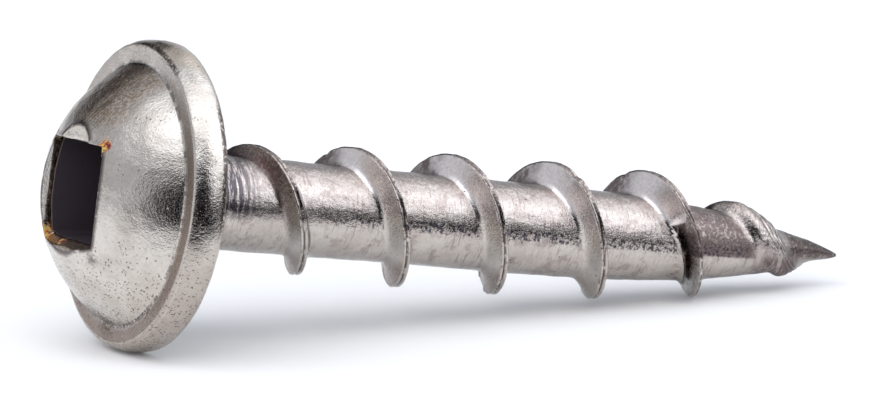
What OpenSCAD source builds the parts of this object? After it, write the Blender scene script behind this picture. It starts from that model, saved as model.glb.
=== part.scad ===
// Window sill screw: a washer-head self-tapping wood screw with a square drive recess and a coarse
// right-hand thread, lying on its side as it comes to rest on its washer rim and one thread crest.
// It is one cold-formed piece. All sizes are millimetres.

/* [Head] */
// Diameter of the washer at the widest ring of its rim
washer_d = 9.76; // [9.4:0.02:11]
// Thickness of the washer
washer_t = 1.1; // [0.8:0.05:1.4]
// Distance from the bearing face to the widest ring of the rim
rim_wide_run = 0.45; // [0.3:0.01:0.6]
// Radius of the barrel curve across the rim
rim_bulge_r = 1.4; // [1.2:0.1:3]
// Width of the broken edge at the outside of each face of the washer
rim_break = 0.07; // [0.04:0.01:0.12]
// Diameter of the dome where it rises from the washer
dome_d = 8.16; // [7:0.02:8.4]
// Height of the dome above the washer, measured as if it had no recess
dome_h = 2.45; // [2:0.05:3]
// Radius of the fillet between the dome and the washer
dome_fillet = 0.1; // [0.05:0.01:0.2]

/* [Drive] */
// Width across the flats of the square recess at its mouth
drive_w = 3.2; // [2.9:0.05:3.4]
// Width across the flats of the square recess at its floor
drive_floor_w = 2.8; // [2.4:0.05:2.9]
// Depth of the recess walls below the top of the dome
drive_depth = 2.5; // [1.8:0.1:2.7]
// Angle of the drill-point floor of the recess below the horizontal
drive_floor_angle = 25; // [10:1:35]
// Turn of the recess about the screw's length
drive_turn = -1; // [-45:1:45]
// How far the recess was punched off the middle, towards the front
drive_shift = 0.16; // [0:0.02:0.3]
// Width of the hollow that driver bits have worn into an edge of the recess
scoop_w = 2; // [1:0.1:2.4]
// How far that hollow reaches from the recess over the dome
scoop_reach = 0.45; // [0.2:0.05:0.6]
// Depth of that hollow at the edge of the recess
scoop_dip = 0.3; // [0.1:0.05:0.5]

/* [Shank] */
// Length from the bearing face under the washer to the tip
shank_l = 25; // [22:0.5:32]
// Diameter of the shank between the threads
root_d = 2.94; // [2.7:0.02:3.1]
// Radius of the fillet under the washer
neck_fillet = 0.8; // [0.7:0.05:1]
// Length of the point, from where the shank begins to narrow
point_l = 9; // [7:0.5:10]
// Diameter at the blunted tip
tip_d = 0.2; // [0.1:0.05:0.4]

/* [Thread] */
// Diameter over the thread crests
thread_d = 4.44; // [4:0.02:4.5]
// Distance from one crest to the next along the shank
pitch = 3.58; // [3:0.02:4]
// Distance from the tip to where the thread ends
thread_tip_gap = 1.87; // [1.4:0.01:3]
// Turns over which the thread grows to its full height
run_in_turns = 2.6; // [1:0.1:3]
// Turns over which the thread fades out on the point
run_out_turns = 1.6; // [1:0.1:2]
// Width of the flat land on the crest
crest_land = 0.16; // [0.08:0.02:0.3]
// Length along the shank of the flank that faces the head
head_flank = 0.42; // [0.3:0.01:0.6]
// Length along the shank of the flank that faces the tip
tip_flank = 0.38; // [0.3:0.01:0.6]
// Angle around the shank at which the thread begins, from straight up towards the front
thread_angle = -145; // [-180:1:180]
// Facets of the thread in one turn
thread_facets = 40; // [24:2:48]

/* [Hidden] */
$fn = 64;

plated_steel = [0.72, 0.69, 0.66];

washer_r = washer_d / 2;
dome_r = dome_d / 2;
root_r = root_d / 2;
crest_r = thread_d / 2;
bulge_centre_r = washer_r - rim_bulge_r;

// The dome is a cap of a sphere that stands on the outer face of the washer
dome_sphere_r = (dome_r * dome_r + dome_h * dome_h) / (2 * dome_h);
dome_centre_x = -washer_t - dome_h + dome_sphere_r;
dome_top_x = -washer_t - dome_h;
function dome_x(r) = dome_centre_x - sqrt(pow(dome_sphere_r, 2) - pow(r, 2));
mouth_x = dome_x(drive_w / 2);
drive_floor_x = dome_top_x + drive_depth;

// The point narrows along an ogive: each entry is a share of the point's length and of the root radius
OGIVE = [[0, 1], [0.3, 0.89], [0.5, 0.735], [0.72, 0.49], [1, tip_d / root_d]];
point_x = shank_l - point_l;

function ogive_step(u, i) = (i + 2 >= len(OGIVE) || u <= OGIVE[i + 1][0]) ? i : ogive_step(u, i + 1);
function ogive_share(u, i) =
    OGIVE[i][1] + (OGIVE[i + 1][1] - OGIVE[i][1]) * (u - OGIVE[i][0]) / (OGIVE[i + 1][0] - OGIVE[i][0]);
function shank_r(x) = let (u = (x - point_x) / point_l)
    u <= 0 ? root_r : root_r * ogive_share(min(u, 1), ogive_step(u, 0));

// The thread makes whole turns, as many as fit between the neck and the point
foot_run = crest_land / 2 + head_flank;
neck_gap = 0.2;
neck_run = 0.05;
first_start = neck_fillet + neck_run + neck_gap + foot_run;
turns = floor((shank_l - thread_tip_gap - first_start) / pitch);
thread_x = shank_l - thread_tip_gap - pitch * turns;
collar_x = thread_x - foot_run - neck_gap;

// Height of the thread above the shank at a number of turns from its start
thread_h = crest_r - root_r;
run_in_power = 0.3;
run_out_power = 0.6;
function fade(share, power) = pow(max(0, min(1, share)), power);
function ridge_h(n) =
    thread_h * fade(n / run_in_turns, run_in_power) * fade((turns - n) / run_out_turns, run_out_power);

// The screw rests on the curve of the washer rim and on whichever of the crests straight below the
// shank it meets first. Its left end is the rear end of the worn edge at the bottom of the recess.
function rim_tilt(x, r) = let (drop = bulge_centre_r - r, run = x + rim_wide_run)
    atan(drop / run) + asin(rim_bulge_r / norm([drop, run]));
function crest_tilt(n) = let (x = thread_x + pitch * n) rim_tilt(x, shank_r(x) + ridge_h(n));
lowest_turn = (540 - thread_angle) % 360 / 360;
rest_tilt = min([for (m = [0:turns - 1]) crest_tilt(lowest_turn + m)]);
rest_lift = rim_bulge_r + bulge_centre_r * cos(rest_tilt) - rim_wide_run * sin(rest_tilt);
worn_end_r = norm([drive_w / 2, scoop_w / 2 - drive_shift]);
left_x = dome_x(worn_end_r) * cos(rest_tilt) - drive_w / 2 * sin(rest_tilt);
right_x = shank_l * cos(rest_tilt) + tip_d / 2 * sin(rest_tilt);

// How far a cut reaches past the surface that it opens, and how far the drill point's edge lies inside
// the recess floor
cut_over = 1;
floor_step = 0.01;

// Half outlines of the head, with the radius along X and the screw's length along Y
module washer_outline() {
    back_r = bulge_centre_r + sqrt(pow(rim_bulge_r, 2) - pow(rim_wide_run, 2)) - rim_break;
    front_r = bulge_centre_r + sqrt(pow(rim_bulge_r, 2) - pow(washer_t - rim_wide_run, 2)) - rim_break;
    translate([0, -washer_t]) square([bulge_centre_r, washer_t]);
    intersection() {
        polygon([
            [0, 0],
            [back_r, 0],
            [back_r + rim_wide_run, -rim_wide_run],
            [front_r + washer_t - rim_wide_run, -rim_wide_run],
            [front_r, -washer_t],
            [0, -washer_t]]);
        translate([bulge_centre_r, -rim_wide_run]) circle(rim_bulge_r);
    }
}

module dome_outline() {
    intersection() {
        translate([0, dome_centre_x]) circle(dome_sphere_r);
        translate([0, dome_top_x - cut_over]) square([dome_r, dome_h + cut_over + washer_t / 2]);
    }
}

// Hollow corner between the dome and the washer, tangent to both
module dome_fillet_outline() {
    arc_x = -washer_t - dome_fillet;
    reach = dome_sphere_r + dome_fillet;
    arc_r = sqrt(reach * reach - pow(arc_x - dome_centre_x, 2));
    touch_r = arc_r * dome_sphere_r / reach;
    touch_x = dome_centre_x + (arc_x - dome_centre_x) * dome_sphere_r / reach;
    difference() {
        polygon([[touch_r, touch_x], [arc_r, arc_x], [arc_r, -washer_t / 2], [root_r, -washer_t / 2]]);
        translate([arc_r, arc_x]) circle(dome_fillet);
    }
}

module neck_outline() {
    difference() {
        translate([0, -washer_t / 2]) square([root_r + neck_fillet, neck_fillet + washer_t / 2]);
        translate([root_r + neck_fillet, neck_fillet]) circle(neck_fillet);
    }
}

module collar_outline() {
    translate([0, -washer_t / 2]) square([root_r, collar_x + washer_t / 2]);
}

module head() {
    rotate([0, 90, 0]) rotate_extrude() {
        washer_outline();
        dome_outline();
        dome_fillet_outline();
        neck_outline();
        collar_outline();
    }
}

// Square recess with drafted walls and a drill-point floor
module drive_recess() {
    draft = (drive_w - drive_floor_w) / 2 / drive_depth;
    mouth_half = drive_w / 2 + draft * cut_over;
    drill_r = drive_floor_w / 2 - floor_step;
    translate([0, -drive_shift, 0]) rotate([drive_turn, 0, 0]) {
        translate([dome_top_x - cut_over, 0, 0]) rotate([0, 90, 0]) rotate([0, 0, 45])
            cylinder(
                h = drive_depth + cut_over,
                r1 = mouth_half * sqrt(2),
                r2 = drive_floor_w / sqrt(2),
                $fn = 4);
        translate([drive_floor_x - floor_step, 0, 0]) rotate([0, 90, 0])
            cylinder(h = drill_r * tan(drive_floor_angle), r1 = drill_r, r2 = 0);
    }
}

// Hollows that slipping driver bits have worn into the dome at two edges of the recess. Each is cut by
// a ball through the ends of the worn edge, the lowest point between them and the far point on the dome.
module bit_scoops() {
    near_r = drive_w / 2;
    far_r = near_r + scoop_reach;
    back = (pow(scoop_w / 2, 2) - pow(scoop_dip, 2)) / (2 * scoop_dip);
    low_run = scoop_dip + back;
    far_run = dome_x(far_r) - mouth_x + back;
    centre_r = (pow(far_run, 2) - pow(low_run, 2) + pow(far_r, 2) - pow(near_r, 2)) / (2 * scoop_reach);
    ball_r = norm([low_run, near_r - centre_r]);
    translate([0, -drive_shift, 0]) rotate([drive_turn, 0, 0]) for (side = [1, -1])
        translate([mouth_x - back, 0, side * centre_r]) sphere(ball_r);
}

// Cross section of one turn: how far each corner is from the middle of the crest, and its share of the
// height
FOOT_SHARE = 0.72;
FOOT_RISE = 0.12;
PROFILE = [
    [-crest_land / 2 - head_flank, 0],
    [-crest_land / 2 - head_flank * FOOT_SHARE, FOOT_RISE],
    [-crest_land / 2, 1],
    [crest_land / 2, 1],
    [crest_land / 2 + tip_flank * FOOT_SHARE, FOOT_RISE],
    [crest_land / 2 + tip_flank, 0]];
corners = len(PROFILE) + 1;

function on_shank(x, r, angle) = [x, -r * sin(angle), r * cos(angle)];

function thread_corner(n, corner) = let (
        x = thread_x + pitch * n + corner[0],
        r = shank_r(x) + ridge_h(n) * corner[1])
    on_shank(x, r, thread_angle + 360 * n);

// Corner on the bare shank, half-way to the next turn, or half-way to the last ring before the tip
function between_turns(n) = let (
        x = thread_x + pitch * n,
        foot_x = x + crest_land / 2 + tip_flank,
        middle_x = min(x + pitch / 2, (foot_x + last_x) / 2))
    on_shank(middle_x, shank_r(middle_x), thread_angle + 360 * n);

// The shank's skin is a grid of columns that run from the collar to the tip, with a corner at each edge
// of each turn. The last column meets the first one turn further on. It starts inside the collar, where
// it is a little thinner than the shank.
joint_share = 0.985;
joint_run = 0.1;
joint_lap = 0.3;
inner_x = collar_x - joint_lap;
last_x = shank_l - thread_tip_gap / 3;
function column(j) = let (
        n0 = j / thread_facets,
        angle = thread_angle + 360 * n0)
    concat(
        [on_shank(inner_x, root_r * joint_share, angle),
         on_shank(collar_x + joint_run, root_r * joint_share, angle)],
        [for (m = [0:turns - 1]) each concat(
            [for (corner = PROFILE) thread_corner(m + n0, corner)],
            [between_turns(m + n0)])],
        [on_shank(last_x, shank_r(last_x), angle),
         on_shank(shank_l, shank_r(shank_l), angle)]);

rows = 4 + turns * corners;
first_turn = 2;
after_turns = first_turn + turns * corners;
last_column = (thread_facets - 1) * rows;

function quad(a, b, c, d) = [[a, b, c], [a, c, d]];

module threaded_shank() {
    points = [for (j = [0:thread_facets - 1]) each column(j)];
    skin = [for (j = [0:thread_facets - 2], i = [0:rows - 2]) let (a = j * rows + i, b = a + rows)
        each quad(a, a + 1, b + 1, b)];
    seam_start = quad(last_column, last_column + 1, 1, 0);
    seam_in = [for (i = [1:corners + first_turn - 1]) [last_column + 1, i + 1, i]];
    seam_in_end = [[last_column + 1, last_column + first_turn, first_turn + corners]];
    seam_turns = [for (i = [first_turn:after_turns - corners - 2])
        let (a = last_column + i, b = i + corners)
        each quad(a, a + 1, b + 1, b)];
    seam_out = [for (i = [after_turns - corners - 1:after_turns - 1])
        [last_column + i, last_column + i + 1, after_turns - 1]];
    seam_out_end = [[last_column + after_turns, after_turns, after_turns - 1]];
    seam_tip = quad(
        last_column + after_turns,
        last_column + after_turns + 1,
        after_turns + 1,
        after_turns);
    start_cap = [[for (j = [0:thread_facets - 1]) j * rows]];
    tip_cap = [[for (j = [thread_facets - 1:-1:0]) j * rows + rows - 1]];
    polyhedron(
        points = points,
        faces = concat(
            skin, seam_start, seam_in, seam_in_end, seam_turns, seam_out, seam_out_end, seam_tip,
            start_cap, tip_cap));
}

module screw() {
    color(plated_steel)
    translate([-(left_x + right_x) / 2, 0, rest_lift])
    rotate([0, rest_tilt, 0])
    difference() {
        union() {
            head();
            threaded_shank();
        }
        drive_recess();
        bit_scoops();
    }
}

screw();
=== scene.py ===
import math
from functools import reduce

import bpy
import numpy as np
from mathutils import Matrix, Vector, noise


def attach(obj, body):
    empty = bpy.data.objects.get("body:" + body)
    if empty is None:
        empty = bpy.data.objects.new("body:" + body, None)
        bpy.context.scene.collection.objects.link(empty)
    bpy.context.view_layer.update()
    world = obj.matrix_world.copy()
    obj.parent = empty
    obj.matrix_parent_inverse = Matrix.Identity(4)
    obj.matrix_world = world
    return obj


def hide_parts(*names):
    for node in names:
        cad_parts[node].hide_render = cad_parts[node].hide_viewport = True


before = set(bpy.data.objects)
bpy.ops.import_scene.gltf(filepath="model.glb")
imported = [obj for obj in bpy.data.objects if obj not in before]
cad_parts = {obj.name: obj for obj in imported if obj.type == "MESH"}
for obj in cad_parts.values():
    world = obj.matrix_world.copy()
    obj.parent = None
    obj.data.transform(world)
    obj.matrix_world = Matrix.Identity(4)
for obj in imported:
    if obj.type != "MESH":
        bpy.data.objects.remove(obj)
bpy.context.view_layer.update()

# The screw's own frame, in millimetres: s runs from the bearing face to the tip, r is the radius and the
# angle goes from straight up towards the front. The screw lies on its washer rim and one crest.
MM = 0.001
TILT = math.radians(8.83323)
BASE = Vector((-10.66437, 0.0, 4.76962))
AXIS = Vector((math.cos(TILT), 0.0, -math.sin(TILT)))
UP = Vector((math.sin(TILT), 0.0, math.cos(TILT)))
FRONT = Vector((0.0, -1.0, 0.0))

# Head
WASHER_T = 1.1
RIM_CENTRE_R = 3.48
RIM_BULGE_R = 1.4
RIM_WIDE_S = -0.45
DOME_R = 4.62222
DOME_CENTRE_S = 1.07222
DOME_TOP_S = -3.55
DOME_FOOT_R = 4.052
FILLET_R = 0.1
FILLET_CENTRE = (-1.2, 4.1396)

# Square recess
DRIVE_TURN = math.radians(-1.0)
DRIVE_SHIFT = 0.16
DRIVE_HALF = 1.6
DRIVE_DRAFT = 0.08
DRIVE_CORNER = 0.11
DRIVE_FLOOR_S = -1.05
DRILL_R = 1.385
DRILL_SLOPE = math.tan(math.radians(25))
MOUTH_S = -3.26424
MOUTH_EDGE = 0.04
# The recess meets the dome between its top and this place, which is found by halving
MOUTH_DEEPEST_S = -1.6
HALVINGS = 36
# Height of the waves in the recess wall, and the depth at which they end
WALL_WAVE = 0.015
WALL_WAVE_DEPTH = 0.8

# Hollows that driver bits have worn into the recess edges: direction in degrees from straight up towards
# the front, half of the width, reach over the dome and depth at the recess
HOLLOWS = [(9, 1.1, 0.5, 0.27), (180, 1.55, 0.36, 0.22)]
# Recess edges worn straight: direction, place along the screw and slope of the worn face
STRAIGHT = [(90, -2.9, 0.54), (180, -2.8, 1.5), (270, -3.1, 1.0)]
# Reach from which a worn edge counts as worn, and how far the upper edge stands proud above a height
WORN_REACH = 0.06
PROUD = 0.05
PROUD_HEIGHT = 1.3

# Rows of the head's skin from the middle of the recess floor outwards: shares of a length, counts of
# steps, radii, and pairs of place and radius
FLOOR_SHARES = (0.1, 0.3, 0.5, 0.7, 0.88, 1.0)
WALL_SHARES = (0.0, 0.03, 0.1, 0.22, 0.36, 0.5, 0.64, 0.76, 0.85, 0.91, 0.96, 1.0)
LIP_SHARE = 0.96
LINE_STEPS = 60
HOLLOW_ROWS = 8
HOLLOW_START = 0.16
HOLLOW_STEP = 0.01
EDGE_SHARES = (0.0, 0.25, 0.5, 0.75, 1.0)
DOME_ROWS = 26
FILLET_ROWS = 4
RING_R = (4.26, 4.38, 4.5, 4.6)
CORNER_ROWS = ((-1.098, 4.655), (-1.088, 4.69), (-1.066, 4.717), (-1.03, 4.742))
RIM_ROWS = 10
RIM_ENDS_S = (-0.97, -0.07)
BRINK_ROWS = ((-0.035, 4.805), (-0.012, 4.785), (-0.002, 4.76))
BEARING_R = (4.7, 4.4, 4.0, 3.5, 3.0, 2.6, 2.4)
NECK_ROWS = 8

# Shank and thread
NECK_R = 1.47
NECK_FILLET = 0.8
COLLAR_S = 0.95
TIP_S = 25.0
PITCH = 3.58
THREAD_S = 1.65
THREAD_ANGLE = -145.0
TURNS = 6
START_TURNS = 0.05
END_TURNS = 0.12
TIP_RINGS_S = (23.9, 24.1, 24.3, 24.5, 24.65, 24.78, 24.88, 24.95, 24.99)
RING_GAP = 0.06

COLUMNS = 192
FIRST_ANGLE = 44.0
PLAIN_ROWS = 10

# The tip is bent up a little: lift, place and width
TIP_BEND = (0.06, 24.0, 0.6)

# Radius of the shank between the threads, along the length
ROOT = [(0.8, 1.47), (3.0, 1.495), (4.5, 1.49), (7.0, 1.468), (13.0, 1.462), (15.5, 1.432), (17.5, 1.35),
        (18.75, 1.265), (20.0, 1.135), (21.4, 0.915), (22.4, 0.745), (23.2, 0.565), (24.0, 0.33),
        (24.8, 0.125), (25.0, 0.05)]

# At a number of turns from the start: radius of the crest, how far it leans to the tip underneath, and how
# far it has drifted to the tip
CREST = [(0.0, 1.5), (0.1, 1.72), (0.402, 1.905), (0.902, 2.08), (1.402, 2.11), (1.902, 2.21), (2.402, 2.17),
         (2.902, 2.2), (3.402, 2.225), (3.902, 2.07), (4.402, 2.22), (4.7, 2.02), (4.902, 1.74), (5.15, 1.56),
         (5.402, 1.43), (5.5, 1.22), (5.6, 1.0), (5.7, 0.9), (5.902, 0.74), (6.0, 0.62)]
LEAN = [(0.0, 0.1), (1.0, 0.16), (2.0, 0.16), (2.9, 0.1), (3.9, 0.2), (4.9, 0.15), (5.9, 0.3), (6.0, 0.3)]
DRIFT = [(0.0, 0.0), (1.4, 0.05), (2.4, 0.03), (3.4, 0.1), (4.4, 0.1), (5.4, 0.22), (6.0, 0.22)]

# Cross section of the thread: run from the middle of the crest, and share of the height
SHARP = [(-0.6, 0.0), (-0.52, 0.004), (-0.455, 0.03), (-0.4, 0.085), (-0.345, 0.19), (-0.29, 0.345),
         (-0.24, 0.51), (-0.195, 0.675), (-0.158, 0.825), (-0.14, 0.92), (-0.128, 0.965), (-0.114, 0.99),
         (-0.094, 1.0), (-0.056, 0.98), (-0.02, 0.915), (0.012, 0.915), (0.05, 0.975), (0.08, 0.995),
         (0.102, 0.985), (0.122, 0.95), (0.14, 0.89), (0.165, 0.78), (0.2, 0.635), (0.24, 0.465),
         (0.282, 0.3), (0.328, 0.16), (0.377, 0.07), (0.43, 0.02), (0.49, 0.002), (0.55, 0.0)]
FOLD = [(-0.6, 0.0), (-0.53, 0.02), (-0.48, 0.08), (-0.44, 0.16), (-0.41, 0.2), (-0.38, 0.12),
        (-0.34, -0.08), (-0.29, -0.14), (-0.23, -0.06), (-0.18, 0.14), (-0.13, 0.4), (-0.09, 0.7),
        (-0.06, 0.92), (-0.04, 0.985), (-0.015, 1.0), (0.015, 1.0), (0.04, 0.985), (0.06, 0.96),
        (0.08, 0.9), (0.1, 0.82), (0.12, 0.73), (0.15, 0.62), (0.19, 0.49), (0.235, 0.36),
        (0.28, 0.24), (0.325, 0.14), (0.375, 0.06), (0.43, 0.02), (0.49, 0.002), (0.55, 0.0)]
BLUNT = [(-0.84, 0.0), (-0.78, 0.03), (-0.72, 0.11), (-0.66, 0.24), (-0.61, 0.4), (-0.56, 0.56),
         (-0.51, 0.7), (-0.46, 0.81), (-0.4, 0.89), (-0.34, 0.95), (-0.27, 0.985), (-0.2, 1.0),
         (-0.13, 1.0), (-0.07, 0.98), (-0.02, 0.93), (0.02, 0.78), (0.06, 0.8), (0.1, 0.86),
         (0.14, 0.8), (0.18, 0.62), (0.22, 0.6), (0.26, 0.66), (0.3, 0.6), (0.34, 0.42),
         (0.38, 0.36), (0.42, 0.4), (0.46, 0.3), (0.51, 0.12), (0.57, 0.02), (0.63, 0.0)]
PROFILE_ROWS = len(SHARP)
TURN_ROWS = PROFILE_ROWS + PLAIN_ROWS

# Turns over which the fold comes and goes and the blunt last turn comes
FOLD_FROM = (4.55, 4.62)
FOLD_TO = (4.9, 5.0)
BLUNT_FROM = (5.08, 5.3)
# Turn, width in turns and size of the blunt turn's bulge and of a spread foot
BULGE = (5.4, 0.11, 1.1)
SPREAD = (3.88, 0.09, 0.3)
SPREAD_ROWS = 12
FOLD_CRUMPLE = 0.08
FOLD_SHIFT = 0.1

# Dents in the crest: turn, width in turns and depth. The chip: turns that it starts and ends over, and depth.
DENTS = [(3.475, 0.012, 0.06), (1.31, 0.008, 0.05), (4.33, 0.01, 0.04)]
CHIP_FROM = (2.93, 2.945)
CHIP_TO = (2.985, 3.0)
CHIP_DEPTH = 0.09
CREST_WAVE = 0.012

# Corners of the cross section that a part of the thread has, and the turns with fold and blunt crest
PARTS = [("flank", 2, 9), ("crest", 10, 20), ("back", 21, 26)]
FOLD_GROOVE = (4, 5, 6, 7, 8, 9)
CREST_GROOVE = (14, 15)
BLUNT_GROOVES = (15, 20, 24)
FOLD_TURNS = (4.58, 4.96)
BLUNT_TURN = 5.2

# Height of the waves in the skin's parts, and the parts that the material knows
WAVE = {"recess": 0.006, "lip": 0.012, "worn": 0.008, "edge": 0.01, "outline": 0.01, "dome": 0.014,
        "seam": 0.006, "ring": 0.008, "corner": 0.01, "rim": 0.015, "brink": 0.01, "bearing": 0.006,
        "shank": 0.018, "flank": 0.008, "crest": 0.008, "groove": 0.01, "blunt": 0.016, "back": 0.008}
PAINTED = ("recess", "lip", "worn", "outline", "seam", "flank", "ring", "corner", "rim", "brink", "crest",
           "groove", "blunt")


def clamp(v):
    return max(0.0, min(1.0, v))


def lerp(a, b, t):
    return a + (b - a) * t


def ease(a, b, v):
    t = clamp((v - a) / (b - a))
    return t * t * (3 - 2 * t)


def bump(v, centre, width):
    return math.exp(-((v - centre) / width) ** 2)


def smooth_table(table):
    """Cubic curve through the table's points that doesn't swing past them."""
    xs = [p[0] for p in table]
    ys = [p[1] for p in table]
    slopes = [(ys[i + 1] - ys[i]) / (xs[i + 1] - xs[i]) for i in range(len(xs) - 1)]
    tangents = [slopes[0]]
    for a, b in zip(slopes, slopes[1:]):
        tangents.append(2 * a * b / (a + b) if a * b > 0 else 0.0)
    tangents.append(slopes[-1])

    def value(x):
        x = max(xs[0], min(xs[-1], x))
        i = 0
        while i < len(xs) - 2 and x > xs[i + 1]:
            i += 1
        run = xs[i + 1] - xs[i]
        t = (x - xs[i]) / run
        a = (2 * t ** 3 - 3 * t ** 2 + 1) * ys[i] + (t ** 3 - 2 * t ** 2 + t) * run * tangents[i]
        b = (3 * t ** 2 - 2 * t ** 3) * ys[i + 1] + (t ** 3 - t ** 2) * run * tangents[i + 1]
        return a + b

    return value


root_r = smooth_table(ROOT)
crest_r = smooth_table(CREST)
lean_run = smooth_table(LEAN)
drift_run = smooth_table(DRIFT)


# Head

def square_r(turn, half, corner):
    """Radius of a square with rounded corners in the direction turn from the middle of a side."""
    along = max(abs(math.cos(turn)), abs(math.sin(turn)))
    across = min(abs(math.cos(turn)), abs(math.sin(turn)))
    reach = half / along
    inner = half - corner
    if reach * across <= inner:
        return reach
    b = inner * (along + across)
    return b + math.sqrt(b * b - 2 * inner * inner + corner * corner)


def dome_r(s):
    return math.sqrt(max(0.0, DOME_R ** 2 - (s - DOME_CENTRE_S) ** 2))


def dome_s(r):
    return DOME_CENTRE_S - math.sqrt(DOME_R ** 2 - r * r)


def hollow_ball(half_w, reach, dip):
    """Ball that wears a hollow: its place along the screw, its distance from the middle and its radius."""
    back = (half_w ** 2 - dip ** 2) / (2 * dip)
    low_run = dip + back
    far_r = DRIVE_HALF + reach
    far_run = dome_s(far_r) - MOUTH_S + back
    centre_r = (far_run ** 2 - low_run ** 2 + far_r ** 2 - DRIVE_HALF ** 2) / (2 * reach)
    return MOUTH_S - back, centre_r, math.hypot(low_run, DRIVE_HALF - centre_r)


BALLS = [(math.radians(turn), *hollow_ball(*sizes)) for turn, *sizes in HOLLOWS]


def wall_half(s):
    return DRIVE_HALF - DRIVE_DRAFT * (s - DOME_TOP_S)


def wall_r(s, turn):
    """Radius of the recess wall at a depth and a direction."""
    wall = square_r(turn, wall_half(s), DRIVE_CORNER)
    worn = WALL_WAVE * noise.noise(Vector((math.cos(turn) * 6, math.sin(turn) * 6, s * 2)))
    return wall + worn * clamp(1 - (s - MOUTH_S) / WALL_WAVE_DEPTH)


def void_r(s, turn):
    """Radius of the recess with its worn hollows."""
    best = wall_r(s, turn)
    for side, ball_s, ball_centre, ball_r in BALLS:
        c = ball_centre * math.cos(turn - side)
        q = c * c - ball_centre ** 2 + ball_r ** 2 - (s - ball_s) ** 2
        if q > 0:
            best = max(best, c + math.sqrt(q))
    for side, line_s, slope in STRAIGHT:
        along = math.cos(turn - math.radians(side))
        across = abs(math.sin(turn - math.radians(side)))
        if s < line_s and along > across:
            reach = (wall_half(s) + (line_s - s) / slope) / along
            best = max(best, min(reach, wall_half(s) / max(across, 1e-6)))
    return best


def drive_point(r, angle):
    """Height and forward distance from the screw's middle of a point of the recess."""
    return r * math.cos(angle), r * math.sin(angle) + DRIVE_SHIFT


def mouth_s(turn, angle):
    """Place along the screw where the recess meets the dome."""
    low, high = DOME_TOP_S, MOUTH_DEEPEST_S
    for _ in range(HALVINGS):
        middle = (low + high) / 2
        if dome_r(middle) < math.hypot(*drive_point(void_r(middle, turn), angle)):
            low = middle
        else:
            high = middle
    return low


def even_rows(line, count):
    """Points at even steps along a line of points, without its first point."""
    lengths = [0.0]
    for a, b in zip(line, line[1:]):
        lengths.append(lengths[-1] + math.dist(a, b))
    rows = []
    i = 0
    for step in range(1, count + 1):
        goal = lengths[-1] * step / count
        while i < len(line) - 2 and lengths[i + 1] < goal:
            i += 1
        t = (goal - lengths[i]) / max(1e-9, lengths[i + 1] - lengths[i])
        rows.append(tuple(lerp(p, q, min(1.0, t)) for p, q in zip(line[i], line[i + 1])))
    return rows


def recess_rows(angle):
    """Rows (s, height, forward, kind) from the recess floor over its edge, and where they reach the dome."""
    turn = angle - DRIVE_TURN
    rows = []
    for share in FLOOR_SHARES:
        r = DRILL_R * share
        rows.append((DRIVE_FLOOR_S + (DRILL_R - r) * DRILL_SLOPE, *drive_point(r, angle), "recess"))
    rim_s = mouth_s(turn, angle)
    hollow_s = rim_s + HOLLOW_START
    while void_r(hollow_s, turn) > wall_r(hollow_s, turn) + 1e-6:
        hollow_s += HOLLOW_STEP
    for share in WALL_SHARES:
        s = lerp(DRIVE_FLOOR_S, hollow_s, share)
        rows.append((s, *drive_point(void_r(s, turn), angle), "recess" if share < LIP_SHARE else "lip"))
    line = []
    for i in range(LINE_STEPS + 1):
        s = lerp(hollow_s, rim_s, i / LINE_STEPS)
        line.append((s, *drive_point(void_r(s, turn), angle)))
    worn = math.dist(line[0][1:], line[-1][1:]) > WORN_REACH
    hollow = even_rows(line, HOLLOW_ROWS)
    for row in hollow[:-1]:
        rows.append((*row, "worn" if worn else "lip"))
    corner = line[-1]
    inner = hollow[-2]
    reach = math.dist(corner, inner)
    wall = tuple(lerp(c, i, min(0.9, MOUTH_EDGE / reach)) for c, i in zip(corner, inner))
    out_r = math.hypot(*corner[1:]) + MOUTH_EDGE
    out_angle = math.atan2(corner[2], corner[1])
    face = (dome_s(out_r), out_r * math.cos(out_angle), out_r * math.sin(out_angle))
    for t in EDGE_SHARES:
        point = ((1 - t) ** 2 * w + 2 * t * (1 - t) * c + t * t * f for w, c, f in zip(wall, corner, face))
        rows.append((*point, "outline" if worn else "edge"))
    return rows, face


def head_column(angle):
    """Rows (s, height, forward, kind) from the middle of the recess floor to the collar."""
    rows, face = recess_rows(angle)
    for i in range(1, DOME_ROWS + 1):
        t = (i / DOME_ROWS) ** 0.9
        height = lerp(face[1], DOME_FOOT_R * math.cos(angle), t)
        forward = lerp(face[2], DOME_FOOT_R * math.sin(angle), t)
        rows.append((dome_s(math.hypot(height, forward)), height, forward, "dome"))

    def ring(s, r, kind):
        rows.append((s, r * math.cos(angle), r * math.sin(angle), kind))

    start = math.atan2(DOME_FOOT_R - FILLET_CENTRE[1], dome_s(DOME_FOOT_R) - FILLET_CENTRE[0])
    for i in range(1, FILLET_ROWS + 1):
        a = lerp(start, 0.0, i / FILLET_ROWS)
        ring(FILLET_CENTRE[0] + FILLET_R * math.cos(a), FILLET_CENTRE[1] + FILLET_R * math.sin(a), "seam")
    for r in RING_R:
        ring(-WASHER_T, r, "ring")
    for s, r in CORNER_ROWS:
        ring(s, r, "corner")
    for i in range(RIM_ROWS + 1):
        s = lerp(*RIM_ENDS_S, i / RIM_ROWS)
        ring(s, RIM_CENTRE_R + math.sqrt(RIM_BULGE_R ** 2 - (s - RIM_WIDE_S) ** 2), "rim")
    for s, r in BRINK_ROWS:
        ring(s, r, "brink")
    for r in BEARING_R:
        ring(0.0, r, "bearing")
    for i in range(NECK_ROWS + 1):
        a = math.pi / 2 * i / NECK_ROWS
        ring(NECK_FILLET * (1 - math.cos(a)), NECK_R + NECK_FILLET * (1 - math.sin(a)), "shank")
    ring(COLLAR_S, root_r(COLLAR_S), "shank")
    return rows


# Thread

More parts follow.
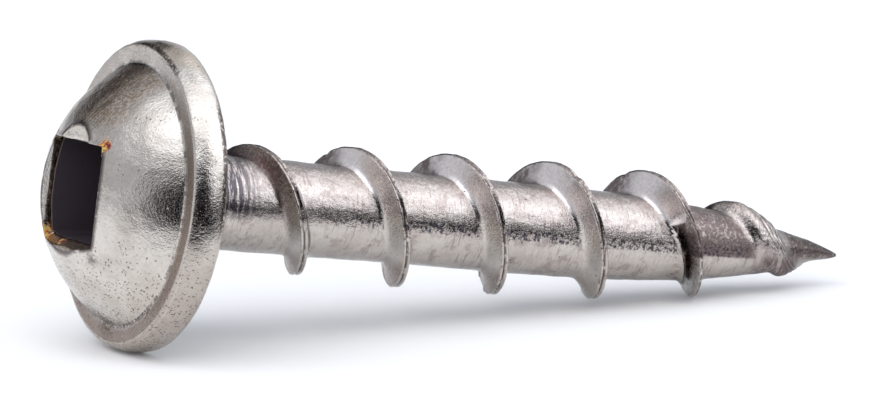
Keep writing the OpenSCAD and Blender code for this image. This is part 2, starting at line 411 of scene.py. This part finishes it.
def section(n, k):
    """Run and share of the height of corner k of the thread's cross section, n turns from its start."""
    fold = ease(*FOLD_FROM, n) * (1 - ease(*FOLD_TO, n))
    blunt = ease(*BLUNT_FROM, n)
    run, share = SHARP[k]
    for shape, amount in ((FOLD, fold), (BLUNT, blunt)):
        run = lerp(run, shape[k][0], amount)
        share = lerp(share, shape[k][1], amount)
    if run > 0:
        turn, width, size = BULGE
        run *= 1 + size * blunt * bump(n, turn, width)
    if k < SPREAD_ROWS:
        turn, width, size = SPREAD
        run -= size * bump(n, turn, width) * (1 - share)
        share += FOLD_CRUMPLE * fold * noise.noise(Vector((n * 90, k * 0.7, 2.0)))
    return run + FOLD_SHIFT * fold, share


def nick(n):
    """How far the chip and the dents lower the crest."""
    chip = CHIP_DEPTH * ease(*CHIP_FROM, n) * (1 - ease(*CHIP_TO, n))
    return chip + sum(depth * bump(n, turn, width) for turn, width, depth in DENTS)


def thread_kind(n, k):
    """Part of the skin that corner k of the cross section belongs to."""
    if FOLD_TURNS[0] < n < FOLD_TURNS[1] and k in FOLD_GROOVE:
        return "groove"
    if n > BLUNT_TURN:
        return "groove" if k in BLUNT_GROOVES else "blunt"
    if k in CREST_GROOVE:
        return "groove"
    for name, first, last in PARTS:
        if first <= k <= last:
            return name
    return "shank"


def thread_point(n, k, angle):
    """Place, radius and kind of corner k of the cross section."""
    centre = THREAD_S + PITCH * n + drift_run(n) + lean_run(n) * (1 - math.cos(angle)) / 2
    run, share = section(n, k)
    s = centre + run
    root = root_r(s)
    if n <= 0 or n >= TURNS:
        return s, root, "shank"
    height = crest_r(n) - root_r(centre)
    height *= min(1.0, (n / START_TURNS) ** 0.3, ((TURNS - n) / END_TURNS) ** 0.5)
    height -= nick(n)
    height += CREST_WAVE * noise.noise(Vector((n * 60, 3.1, 0.4))) * share
    return s, root + max(0.0, height) * share, thread_kind(n, k)


def helix_row(g, n0, angle):
    """Row g of the helical grid in the column that starts n0 turns on."""
    m, k = divmod(g, TURN_ROWS)
    n = m + n0
    if k < PROFILE_ROWS:
        return thread_point(n, k, angle)
    a = thread_point(n, PROFILE_ROWS - 1, angle)[0]
    b = thread_point(n + 1, 0, angle)[0]
    s = lerp(a, b, (k - PROFILE_ROWS + 1) / (PLAIN_ROWS + 1))
    return s, root_r(s), "shank"


def helix_column(n0, angle):
    """Numbered rows of one column between the collar and the first ring of the tip."""
    g = -TURN_ROWS
    while helix_row(g, n0, angle)[0] < COLLAR_S + RING_GAP:
        g += 1
    rows = []
    row = helix_row(g, n0, angle)
    while row[0] <= TIP_RINGS_S[0] - RING_GAP:
        rows.append((g, row))
        g += 1
        row = helix_row(g, n0, angle)
    return rows


class Skin:
    """Points and faces of the screw, and each point's place as s, height, forward and kind."""

    def __init__(self):
        self.verts = []
        self.places = []
        self.faces = []

    def add(self, s, height, forward, kind):
        self.verts.append(BASE + AXIS * s + UP * height + FRONT * forward)
        self.places.append((s, height, forward, kind))
        return len(self.verts) - 1

    def add_round(self, angle, s, r, kind):
        return self.add(s, r * math.cos(angle), r * math.sin(angle), kind)

    def face(self, *corners):
        self.faces.append(corners)

    def strip(self, a, b):
        """Faces between two columns with the same rows."""
        for i in range(len(a) - 1):
            self.face(a[i], a[i + 1], b[i + 1], b[i])

    def helix_strip(self, a, b, ring_a, ring_b, end_a, end_b):
        """Faces between two columns of the grid, whose rows have numbers, and the rings before and after."""
        last_a = max(a)
        last_b = max(b)
        low = max(min(a), min(b))
        high = min(last_a, last_b)
        for g in range(min(a), low):
            self.face(ring_b, a.get(g - 1, ring_a), a[g])
        for g in range(min(b), low):
            self.face(ring_a, b[g], b.get(g - 1, ring_b))
        self.face(a.get(low - 1, ring_a), a[low], b[low], b.get(low - 1, ring_b))
        for g in range(low, high):
            self.face(a[g], a[g + 1], b[g + 1], b[g])
        for g in range(high, last_a):
            self.face(end_b, a[g], a[g + 1])
        for g in range(high, last_b):
            self.face(end_a, b[g + 1], b[g])
        if last_a > high:
            self.face(end_b, a[last_a], end_a)
        elif last_b > high:
            self.face(end_a, end_b, b[last_b])
        else:
            self.face(a[last_a], end_a, end_b, b[last_b])

    def mesh(self, name):
        made = bpy.data.meshes.new(name)
        made.from_pydata([v * MM for v in self.verts], [], self.faces)
        made.validate(clean_customdata=False)
        made.update()
        return made


def build_skin():
    """Skin of the whole screw: rings on the head, a helical grid on the shank, and rings at the tip."""
    skin = Skin()
    columns = []
    for j in range(COLUMNS):
        degrees = FIRST_ANGLE + 360.0 * j / COLUMNS
        n0 = ((degrees - THREAD_ANGLE) / 360.0) % 1.0
        columns.append((n0, math.radians(degrees)))
    columns.sort()
    heads, helices, tips = [], [], []
    for n0, angle in columns:
        heads.append([skin.add(*row) for row in head_column(angle)])
        helices.append({g: skin.add_round(angle, *row) for g, row in helix_column(n0, angle)})
        tips.append([skin.add_round(angle, s, root_r(s), "shank") for s in TIP_RINGS_S])
    floor_middle = skin.add(DRIVE_FLOOR_S + DRILL_R * DRILL_SLOPE, *drive_point(0.0, 0.0), "recess")
    tip_middle = skin.add(TIP_S, 0.0, 0.0, "shank")

    for j in range(COLUMNS):
        k = (j + 1) % COLUMNS
        # The last column meets the first one a turn further on
        wrap = TURN_ROWS if k == 0 else 0
        neighbour = {g - wrap: point for g, point in helices[k].items()}
        skin.face(floor_middle, heads[j][0], heads[k][0])
        skin.strip(heads[j], heads[k])
        skin.helix_strip(helices[j], neighbour, heads[j][-1], heads[k][-1], tips[j][0], tips[k][0])
        skin.strip(tips[j], tips[k])
        skin.face(tips[j][-1], tip_middle, tips[k][-1])
    return skin


def add_waves(mesh, places):
    """Small dents and the rolled surface's waves along the normals, the bent tip and the proud edge."""
    normals = np.zeros(len(mesh.vertices) * 3, np.float32)
    mesh.vertices.foreach_get("normal", normals)
    normals = normals.reshape(-1, 3)
    lift, bend_s, bend_width = TIP_BEND
    for vert, (s, height, forward, kind) in zip(mesh.vertices, places):
        p = Vector((s, forward, height))
        fine = noise.noise(p * 2.4) + 0.5 * noise.noise(p * 5.3)
        slow = noise.noise(p * 0.8 + Vector((7.0, 0.0, 0.0)))
        amount = WAVE[kind] * (fine + 0.8 * slow) * min(1.0, math.hypot(height, forward) / 0.5)
        vert.co += Vector(normals[vert.index]) * amount * MM
        vert.co += UP * lift * bump(s, bend_s, bend_width) * MM
        if kind in ("edge", "outline") and height > PROUD_HEIGHT:
            vert.co -= AXIS * PROUD * MM


skin = build_skin()
mesh = skin.mesh("screw_skin")
add_waves(mesh, skin.places)
for name in PAINTED:
    attribute = mesh.attributes.new(name, "FLOAT", "POINT")
    attribute.data.foreach_set("value", [1.0 if place[3] == name else 0.0 for place in skin.places])
for polygon in mesh.polygons:
    polygon.use_smooth = True

screw = bpy.data.objects.new("screw_skin", mesh)
bpy.context.scene.collection.objects.link(screw)


# Materials

def new_material(name):
    material = bpy.data.materials.new(name)
    material.use_nodes = True
    material.node_tree.nodes.clear()
    return material


class Graph:
    """Short calls that add nodes to a material."""

    def __init__(self, material):
        self.nodes = material.node_tree.nodes
        self.links = material.node_tree.links

    def node(self, kind, **settings):
        made = self.nodes.new(kind)
        for key, value in settings.items():
            setattr(made, key, value)
        return made

    def put(self, socket, value):
        if hasattr(value, "is_output"):
            self.links.new(value, socket)
        else:
            socket.default_value = value

    def math(self, operation, a, b=0.0, c=0.0, clamped=False):
        made = self.node("ShaderNodeMath", operation=operation, use_clamp=clamped)
        for socket, value in zip(made.inputs, (a, b, c)):
            self.put(socket, value)
        return made.outputs[0]

    def times(self, *values):
        return reduce(lambda a, b: self.math("MULTIPLY", a, b), values)

    def plus(self, *values):
        return reduce(lambda a, b: self.math("ADD", a, b), values)

    def most(self, *values):
        return reduce(lambda a, b: self.math("MAXIMUM", a, b), values)

    def all_but(self, mask):
        return self.math("SUBTRACT", 1.0, mask)

    def mix(self, factor, a, b):
        made = self.node("ShaderNodeMix", data_type="RGBA")
        self.put(made.inputs["Factor"], factor)
        self.put(made.inputs[6], a)
        self.put(made.inputs[7], b)
        return made.outputs[2]

    def noise(self, vector, scale, detail=2.0, roughness=0.5, out="Fac"):
        made = self.node("ShaderNodeTexNoise")
        self.put(made.inputs["Vector"], vector)
        made.inputs["Scale"].default_value = scale
        made.inputs["Detail"].default_value = detail
        made.inputs["Roughness"].default_value = roughness
        return made.outputs[out]

    def cells(self, vector, scale):
        """Distance to the middle of the nearest cell, in cells, and that cell's random number."""
        made = self.node("ShaderNodeTexVoronoi")
        self.put(made.inputs["Vector"], vector)
        made.inputs["Scale"].default_value = scale
        split = self.node("ShaderNodeSeparateColor")
        self.put(split.inputs[0], made.outputs["Color"])
        return made.outputs["Distance"], split.outputs[0]

    def span(self, value, a, b, to_a=0.0, to_b=1.0):
        """Smooth step of the value from a to b, which gives to_a to to_b."""
        made = self.node("ShaderNodeMapRange", interpolation_type="SMOOTHSTEP")
        ends = {"Value": value, "From Min": a, "From Max": b, "To Min": to_a, "To Max": to_b}
        for name, v in ends.items():
            self.put(made.inputs[name], v)
        return made.outputs["Result"]

    def vector(self, operation, *values):
        made = self.node("ShaderNodeVectorMath", operation=operation)
        for socket, value in zip(made.inputs, values):
            self.put(socket, value)
        return made.outputs["Value" if operation == "DISTANCE" else "Vector"]

    def stretch(self, vector, scale):
        return self.vector("MULTIPLY", vector, scale)

    def attribute(self, name):
        return self.node("ShaderNodeAttribute", attribute_name=name).outputs["Fac"]

    def near(self, vector, point, radius):
        """1 at a point of the screw's frame, 0 beyond the radius."""
        return self.span(self.vector("DISTANCE", vector, point), 0.0, radius, 1.0, 0.0)

    def surface(self, shader, output="ShaderNodeOutputMaterial"):
        self.put(self.node(output).inputs["Surface"], shader.outputs[0])


def screw_coordinates(g):
    """Object coordinates in millimetres with X along the screw from the bearing face and Z upwards."""
    base = Vector((BASE.dot(AXIS), BASE.dot(-FRONT), BASE.dot(UP)))
    mapping = g.node("ShaderNodeMapping", vector_type="POINT")
    mapping.inputs["Location"].default_value = -base
    mapping.inputs["Rotation"].default_value = (0.0, -TILT, 0.0)
    mapping.inputs["Scale"].default_value = (1 / MM, 1 / MM, 1 / MM)
    g.put(mapping.inputs["Vector"], g.node("ShaderNodeTexCoord").outputs["Object"])
    return mapping.outputs["Vector"]


# Colours of the clean plating, of its duller places, of painted light, shade and reflection, of the dirt, of
# the recess's painted shade and of the rust
PLATING = (0.68, 0.635, 0.585, 1)
PLATING_DIM = (0.58, 0.53, 0.48, 1)
PLATING_GRAIN = (0.4, 0.35, 0.32, 1)
SHANK_GRAIN_AND_SHADE = (0.37, 0.32, 0.31, 1)
SHANK_TOP_PAINTED_SHADE = (0.3, 0.25, 0.225, 1)
FLANK_PAINTED_LIGHT = (0.9, 0.835, 0.83, 1)
PAINTED_SHADE = (0.285, 0.222, 0.19, 1)
TARNISH = (0.32, 0.225, 0.15, 1)
RIM_TOP_TARNISH_AND_LIGHT = (0.85, 0.72, 0.58, 1)
SOOT_AND_SHADE = (0.085, 0.064, 0.06, 1)
UMBER = (0.2, 0.135, 0.13, 1)
STREAKS_AND_PAINTED_REFLECTION = (0.062, 0.052, 0.07, 1)
FIRST_TURN_SHADE = (0.095, 0.05, 0.052, 1)
SMUDGE = (0.1, 0.062, 0.045, 1)
RECESS_SHADE = (0.022, 0.016, 0.023, 1)
LIP_DARK = (0.06, 0.036, 0.026, 1)
LIP_BROWN = (0.5, 0.36, 0.25, 1)
RUST_RED = (0.12, 0.008, 0.006, 1)
RUST_ORANGE = (0.46, 0.19, 0.04, 1)
RUST_YELLOW = (0.42, 0.33, 0.1, 1)
RUST_DARK = (0.05, 0.03, 0.015, 1)

# Rust at the recess corners: place in the screw's frame (along, back, up) and radius
RUST = [((-2.95, -1.78, 1.62), 0.5), ((-3.05, 1.5, -1.5), 0.55), ((-3.0, 1.5, 1.58), 0.3),
        ((-2.95, 0.3, -1.62), 0.3)]
# Small spots of dirt: at the recess's lower front corner and at the foot of the dome
CORNER_SPOT = ((-2.8, -1.68, -1.95), 0.34)
FOOT_SPOT = ((-1.45, 0.1, -3.9), 1.1)


class Steel:
    """Dull bright plating in layers. Each one paints over the last and keeps masks that later ones use."""

    def __init__(self, g):
        self.g = g
        self.at = screw_coordinates(g)
        split = g.node("ShaderNodeSeparateXYZ")
        g.put(split.inputs[0], self.at)
        self.along, self.back, self.high = split.outputs
        self.part = {name: g.attribute(name) for name in PAINTED}
        self.cloud = g.noise(self.at, 0.9, 3.0, 0.6)
        self.blotch = g.noise(self.at, 2.2, 4.0, 0.65)
        self.ripple = g.noise(self.at, 4.5, 2.0, 0.5)
        self.grain = g.noise(self.at, 10.0, 3.0, 0.65)
        self.speck = g.noise(self.at, 23.0, 2.0, 0.6)
        self.shaft = g.span(self.along, 0.2, 0.8)
        self.plain = g.times(self.shaft, g.all_but(self.part["flank"]))
        self.colour = PLATING

    def paint(self, mask, colour):
        self.colour = self.g.mix(mask, self.colour, colour)

    def paint_plating(self):
        """Cloudy plating, with more grain, scratches and smudges on the shank, the grain tint stronger on its
        upper half as painted shade.
        """
        g = self.g
        self.paint(g.span(self.cloud, 0.65, 0.35), PLATING_DIM)
        self.paint(g.times(g.span(self.grain, 0.5, 0.72), 0.45), PLATING_GRAIN)
        # Grain tint, half as strong below the middle: real grain, plus painted shade that dims the upper
        # half's highlight.
        tint = g.times(g.span(self.speck, 0.48, 0.66, 0.4, 0.8), g.span(self.high, -0.4, 0.0, 0.5, 1.0))
        self.paint(g.times(self.plain, tint), SHANK_GRAIN_AND_SHADE)
        streaks = g.noise(g.stretch(self.at, (13.0, 1.6, 1.6)), 1.0, 3.0, 0.6)
        scratch = g.span(streaks, 0.56, 0.66, 0.0, 0.5)
        smudge = g.span(self.blotch, 0.5, 0.64, 0.0, 0.4)
        self.paint(g.times(self.plain, g.most(scratch, smudge)), UMBER)

    def paint_light_shade_and_tarnish(self):
        """Painted highlight on the thread's upper faces; painted shade, rougher too, on its lower lobes, the
        ring and the rim's lower half; tarnish on the crown; tarnish and painted light on the rim's top;
        painted shade on the shank's top.
        """
        g = self.g
        flank = self.part["flank"]
        outer = g.most(self.part["rim"], self.part["corner"])
        # The clear mask is a painted highlight: the thread's upper faces painted lighter, with finer grain in
        # the bump.
        self.clear = g.times(flank, g.span(self.high, 0.0, 0.9, 0.0, 0.9), g.span(self.along, 3.6, 4.6))
        self.paint(self.clear, FLANK_PAINTED_LIGHT)
        # Painted shade: the thread's lower lobes, the ring except near its top, and the rim's lower half are
        # painted darker; the same mask also makes them rougher.
        self.painted_lobe_shade = g.times(flank, g.span(self.high, -1.0, -1.6), g.span(self.along, 15.0, 11.0, 0.3, 1.0))
        ring_painted_shade = g.times(self.part["ring"], g.span(self.high, 3.9, 1.6, 0.25, 0.95))
        rim_painted_shade = g.times(outer, g.span(self.high, 0.2, -3.2), 0.5)
        self.dull_and_painted_shade = g.most(ring_painted_shade, g.times(self.painted_lobe_shade, 0.85), rim_painted_shade)
        self.paint(self.dull_and_painted_shade, PAINTED_SHADE)
        place = g.times(g.span(self.along, -1.1, -1.25), g.span(self.high, 1.8, 2.5),
                        g.span(self.back, -2.2, -1.3))
        self.crown = g.times(place, g.span(self.grain, 0.42, 0.56, 0.3, 1.0))
        self.paint(g.times(self.crown, 0.85), TARNISH)
        # The rim's top: a brown tarnish tint, and painted light that lifts it above the plating.
        self.paint(g.times(outer, g.span(self.high, 4.1, 4.6), 0.8), RIM_TOP_TARNISH_AND_LIGHT)
        # Painted shade: the shank's upper side is painted darker, in grainy patches, to dim its highlight.
        top = g.times(g.math("SUBTRACT", self.shaft, g.times(self.clear, 0.9)), g.span(self.high, 0.75, 1.4))
        self.paint(g.times(top, g.span(self.grain, 0.38, 0.62, 0.1, 0.9)), SHANK_TOP_PAINTED_SHADE)

    def paint_grime_and_shade(self):
        """Dirt on the thread's back faces, the taper, its underside, the point and the neck; painted shade on
        the first turn and the lower lobes; a painted reflection line along the shank and the taper.
        """
        g = self.g
        behind = g.times(self.part["flank"], g.span(self.blotch, 0.36, 0.55), g.span(self.back, 0.1, 0.9))
        # The first turn's face towards the washer is painted dark: painted shade and reflection of the
        # washer, with grain.
        first = g.times(self.part["flank"], g.span(self.along, 4.4, 3.0), g.span(self.high, -1.6, 0.2),
                        g.span(self.high, 2.0, 1.3, 0.3, 1.0))
        streaks = g.noise(g.stretch(self.at, (9.0, 1.3, 1.3)), 1.0, 3.0, 0.65)
        # A narrow strip at the height of the axis: the place of a painted reflection line, on the shank and
        # the taper.
        painted_reflection_line = g.span(g.math("ABSOLUTE", g.plus(self.high, 0.07)), 0.24, 0.12)
        upper = g.times(g.span(self.high, -0.35, 0.0), g.span(self.grain, 0.36, 0.52, 0.5, 1.0))
        # Taper: dirt on its upper side, and the painted reflection line carried on from the shank.
        taper = g.times(g.span(self.along, 17.9, 18.6), g.span(self.along, 22.0, 21.0),
                        g.all_but(self.part["blunt"]), g.most(painted_reflection_line, upper))
        under = g.times(g.span(self.along, 21.3, 22.0), g.span(self.along, 23.6, 23.0),
                        g.span(self.high, 0.1, -0.3), g.span(streaks, 0.38, 0.54, 0.45, 1.0))
        # This mask holds dirt and painted shade together.
        self.grime_and_shade = g.most(behind, g.times(first, g.span(self.grain, 0.35, 0.6, 0.6, 1.0)),
                            g.times(self.painted_lobe_shade, 0.5), taper, under)
        self.paint(g.times(self.grime_and_shade, 0.85), g.mix(g.span(self.speck, 0.4, 0.62), SOOT_AND_SHADE, UMBER))
        self.paint(g.times(first, 0.7), FIRST_TURN_SHADE)
        point = g.times(g.span(self.along, 22.3, 23.0), g.span(self.high, -0.25, -0.02, 0.4, 1.0),
                        g.span(self.grain, 0.7, 0.52, 0.3, 1.0))
        self.paint(g.times(point, 0.92), SOOT_AND_SHADE)
        neck = g.times(g.span(self.along, 0.1, 0.5), g.span(self.along, 3.3, 2.0),
                       g.span(self.high, -0.5, 0.0), g.span(streaks, 0.41, 0.53))
        # Painted reflection: a dark speckled line along the shank's side facing the camera; the neck streaks
        # are real marks in the same colour.
        painted_reflection_band = g.times(painted_reflection_line, self.plain, g.span(self.back, 0.0, -0.5), g.span(self.along, 21.5, 20.5),
                       g.span(self.grain, 0.49, 0.55), g.span(self.along, 4.0, 8.0, 0.5, 1.0))
        self.paint(g.times(g.most(neck, painted_reflection_band), 0.92), STREAKS_AND_PAINTED_REFLECTION)

    def paint_lines(self):
        """Painted shade: dark lines in the grooves, along the worn outlines, on the crest, at the washer's
        corner and back edge and in the dome's seam; and a dirt smudge at the foot of the dome.
        """
        g = self.g
        seam = self.part["seam"]
        corner = g.times(g.span(self.high, 3.6, 4.1), g.span(self.back, 1.0, 0.4),
                         g.span(self.back, -2.7, -2.1), g.span(self.grain, 0.4, 0.5))
        edge = g.times(g.span(self.high, -1.0, 0.0), g.span(self.high, 3.6, 3.0),
                       g.span(self.back, 0.0, -1.0), g.span(self.along, -0.24, -0.16),
                       g.span(self.grain, 0.36, 0.46))
        # Each of these lines is painted shade or painted reflection at a crease, edge or seam.
        line = g.most(g.times(self.part["groove"], g.span(self.ripple, 0.36, 0.5)),
                      g.times(self.part["outline"], g.span(self.blotch, 0.3, 0.42)),
                      g.times(self.part["crest"], g.span(self.grain, 0.56, 0.66, 0.0, 0.7)),
                      g.times(self.part["corner"], corner),
                      g.times(g.most(self.part["rim"], self.part["brink"]), edge),
                      g.times(seam, g.span(self.blotch, 0.45, 0.55, 0.0, 0.7)),
                      g.times(seam, g.span(self.high, -2.6, -3.3), g.span(self.grain, 0.4, 0.5)))
        self.paint(g.times(line, 0.9), SOOT_AND_SHADE)
        foot = g.times(g.span(g.near(self.at, *FOOT_SPOT), 0.1, 0.6), g.span(self.grain, 0.42, 0.52))
        self.paint(g.times(foot, 0.9), SMUDGE)

    def paint_pits(self):
        """Small pits of uneven shape, more of them low down."""
        g = self.g
        bend = g.noise(self.at, 16.0, 1.0, 0.5, "Color")
        gap, chance = g.cells(g.vector("MULTIPLY_ADD", bend, (0.12, 0.12, 0.12), self.at), 13.0)
        limit = g.math("SUBTRACT", g.span(self.high, -0.6, -3.2, 0.02, 0.42), g.times(self.shaft, 0.05))
        limit = g.plus(limit, g.math("MULTIPLY_ADD", self.blotch, 0.9, -0.45))
        self.pit = g.times(g.span(gap, 0.42, 0.28), g.span(g.math("SUBTRACT", chance, limit), 0.0, -0.06),
                           g.all_but(self.part["recess"]))
        spot = g.times(g.near(self.at, *CORNER_SPOT), g.span(self.grain, 0.36, 0.44))
        self.paint(g.times(g.most(self.pit, spot), 0.75), SOOT_AND_SHADE)

    def paint_recess(self):
        """Painted shade in the recess, brown worn edges, and the rust at its corners."""
        g = self.g
        lip = self.part["lip"]
        low_lip = g.most(lip, g.times(self.part["worn"], g.span(self.grain, 0.3, 0.5)))
        brown = g.most(g.times(lip, g.span(self.back, 0.9, 1.1)),
                       g.times(low_lip, g.span(self.high, -1.2, -1.4)))
        self.paint(g.times(brown, 0.85), g.mix(g.span(self.grain, 0.36, 0.56), LIP_DARK, LIP_BROWN))
        # Painted shade: the recess walls and floor painted near black.
        dark = g.span(self.part["recess"], 0.35, 0.8)
        self.paint(dark, RECESS_SHADE)
        near = g.most(*(g.near(self.at, spot, radius) for spot, radius in RUST))
        rust = g.span(g.plus(near, g.times(g.noise(self.at, 8.0, 3.0, 0.7), 2.0)), 1.45, 1.65)
        shade = g.noise(self.at, 7.0, 2.0, 0.6)
        rust_colour = g.mix(g.span(shade, 0.44, 0.52), RUST_RED, RUST_ORANGE)
        rust_colour = g.mix(g.span(shade, 0.56, 0.62), rust_colour, RUST_YELLOW)
        rust_colour = g.mix(g.span(self.speck, 0.56, 0.64), rust_colour, RUST_DARK)
        self.paint(rust, rust_colour)
        self.soft = g.most(dark, rust)

    def roughness(self):
        g = self.g
        rough = g.plus(g.span(self.grain, 0.3, 0.7, 0.09, 0.19),
                       g.most(g.times(self.dull_and_painted_shade, 0.16), g.times(self.grime_and_shade, 0.28)),
                       g.times(self.clear, 0.16))
        return g.most(rough, g.times(self.soft, 0.8))

    def relief(self):
        """Height of the grain and depth of the pits, in millimetres, as a bumped normal."""
        g = self.g
        height = g.plus(g.times(self.ripple, 0.005), g.times(self.grain, 0.014), g.times(self.speck, 0.009))
        height = g.times(height, g.span(self.clear, 0.0, 0.9, 1.0, 0.4))
        made = g.node("ShaderNodeBump")
        made.inputs["Strength"].default_value = 1.0
        made.inputs["Distance"].default_value = MM
        g.put(made.inputs["Height"], g.math("SUBTRACT", height, g.times(self.pit, 0.014)))
        return made.outputs["Normal"]


def plated_steel():
    """Dull bright plating with pits, dirt, painted light and shade, painted shade in the recess, creases and
    corners, and rust at the recess.
    """
    material = new_material("plated_steel")
    g = Graph(material)
    steel = Steel(g)
    steel.paint_plating()
    steel.paint_light_shade_and_tarnish()
    steel.paint_grime_and_shade()
    steel.paint_lines()
    steel.paint_pits()
    steel.paint_recess()
    shader = g.node("ShaderNodeBsdfPrincipled")
    g.put(shader.inputs["Base Color"], steel.colour)
    dusty = g.most(steel.soft, g.times(steel.crown, 0.1))
    g.put(shader.inputs["Metallic"], g.math("SUBTRACT", 1.0, dusty, clamped=True))
    g.put(shader.inputs["Roughness"], steel.roughness())
    g.put(shader.inputs["Normal"], steel.relief())
    g.surface(shader)
    return material


screw.data.materials.append(plated_steel())
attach(screw, "root")
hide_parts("screw")


# Floor, cards and lamps

def matte(name, colour):
    material = new_material(name)
    g = Graph(material)
    shader = g.node("ShaderNodeBsdfDiffuse")
    shader.inputs["Color"].default_value = colour
    g.surface(shader)
    return material


def plane(name, corners, material):
    data = bpy.data.meshes.new(name)
    data.from_pydata([Vector(c) * MM for c in corners], [], [tuple(range(len(corners)))])
    made = bpy.data.objects.new(name, data)
    bpy.context.scene.collection.objects.link(made)
    data.materials.append(material)
    return made


FLOOR_Z = -0.006
FLOOR_HALF = 3000
plane("floor", [(-FLOOR_HALF, -FLOOR_HALF, FLOOR_Z), (FLOOR_HALF, -FLOOR_HALF, FLOOR_Z),
                (FLOOR_HALF, FLOOR_HALF, FLOOR_Z), (-FLOOR_HALF, FLOOR_HALF, FLOOR_Z)],
      matte("white_floor", (0.92, 0.945, 0.98, 1)))

# Dark cards on the floor, on the camera's side and far behind. Only reflections show them.
CARDS = {
    "card_near": [(-160, -190, 0.02), (-3, -190, 0.02), (-3, -13.5, 0.02), (-160, -13, 0.02)],
    "card_low": [(-3, -190, 0.02), (200, -190, 0.02), (200, -10, 0.02), (12, -11, 0.02), (-3, -15, 0.02)],
    "card_lens": [(-292, -190, 0), (69, -190, 0), (69, -190, 130), (-292, -190, 130)],
    "card_right": [(69, -190, 0), (330, -190, 0), (330, -190, 90), (210, -190, 90), (150, -190, 17),
                   (69, -190, 17)],
    "card_back": [(-170, 300, 70), (170, 300, 70), (170, 300, 300), (-170, 300, 300)]}
black = matte("black_card", (0.012, 0.01, 0.013, 1))
for name, corners in CARDS.items():
    card = plane(name, corners, black)
    card.visible_camera = False
    card.visible_diffuse = False
    card.visible_shadow = False
    card.visible_transmission = False
    card.visible_volume_scatter = False


def softbox(name, place_mm, look_mm, size_mm, radiance, colour):
    """Area lamp with a given brightness, sizes in millimetres."""
    data = bpy.data.lights.new(name, "AREA")
    data.shape = "RECTANGLE"
    data.size = size_mm[0] * MM
    data.size_y = size_mm[1] * MM
    data.energy = radiance * math.pi * data.size * data.size_y
    data.color = colour
    made = bpy.data.objects.new(name, data)
    made.location = Vector(place_mm) * MM
    away = (Vector(look_mm) - Vector(place_mm)).normalized()
    made.rotation_euler = away.to_track_quat("-Z", "Y").to_euler()
    bpy.context.scene.collection.objects.link(made)
    return made


# The polished steel reflects three near softboxes. A large far one lights the floor and casts the shadow.
SOFTBOXES = {"lamp_front": ((341, -286, 227), (0, 0, 5), (500, 330)),
             "lamp_top": ((110, -205, 500), (110, -205, 5), (1020, 530)),
             "lamp_side": ((480, 180, 500), (480, 180, 5), (380, 240))}
SOFTBOX_RADIANCE = 1.3
SOFTBOX_COLOUR = (0.94, 0.97, 1.02)
SKY_RADIANCE = 1.68
SKY_COLOUR = (1.0, 0.95, 0.9)
for name, (place, look, size) in SOFTBOXES.items():
    softbox(name, place, look, size, SOFTBOX_RADIANCE, SOFTBOX_COLOUR).visible_diffuse = False
sky = softbox("lamp_sky", (-2300, -1700, 2700), (0, 0, 0), (7000, 7000), SKY_RADIANCE, SKY_COLOUR)
sky.visible_glossy = False


def make_world():
    world = bpy.data.worlds.new("studio")
    world.use_nodes = True
    world.node_tree.nodes.clear()
    g = Graph(world)
    shader = g.node("ShaderNodeBackground")
    shader.inputs["Color"].default_value = (0.6, 0.625, 0.67, 1)
    shader.inputs["Strength"].default_value = 1.0
    g.surface(shader, "ShaderNodeOutputWorld")
    bpy.context.scene.world = world


make_world()

# Camera at the photograph's place
CAMERA = Vector((-95.25775, -178.45881, 37.02793))
RIGHT = Vector((0.8838435, -0.4677827, 0.0))
OVER = Vector((0.0757736, 0.143169, 0.9867933))
AHEAD = Vector((0.4616048, 0.8721708, -0.1619846))
lens = bpy.data.cameras.new("camera")
lens.sensor_width = 36.0
lens.lens = 264.285
lens.shift_x = -0.0003
lens.shift_y = -0.001
lens.clip_start = 0.01
lens.clip_end = 20.0
camera = bpy.data.objects.new("camera", lens)
camera.matrix_world = Matrix.Translation(CAMERA * MM) @ Matrix((RIGHT, OVER, -AHEAD)).transposed().to_4x4()
bpy.context.scene.collection.objects.link(camera)
bpy.context.scene.camera = camera
bpy.context.scene.view_settings.view_transform = "Standard"
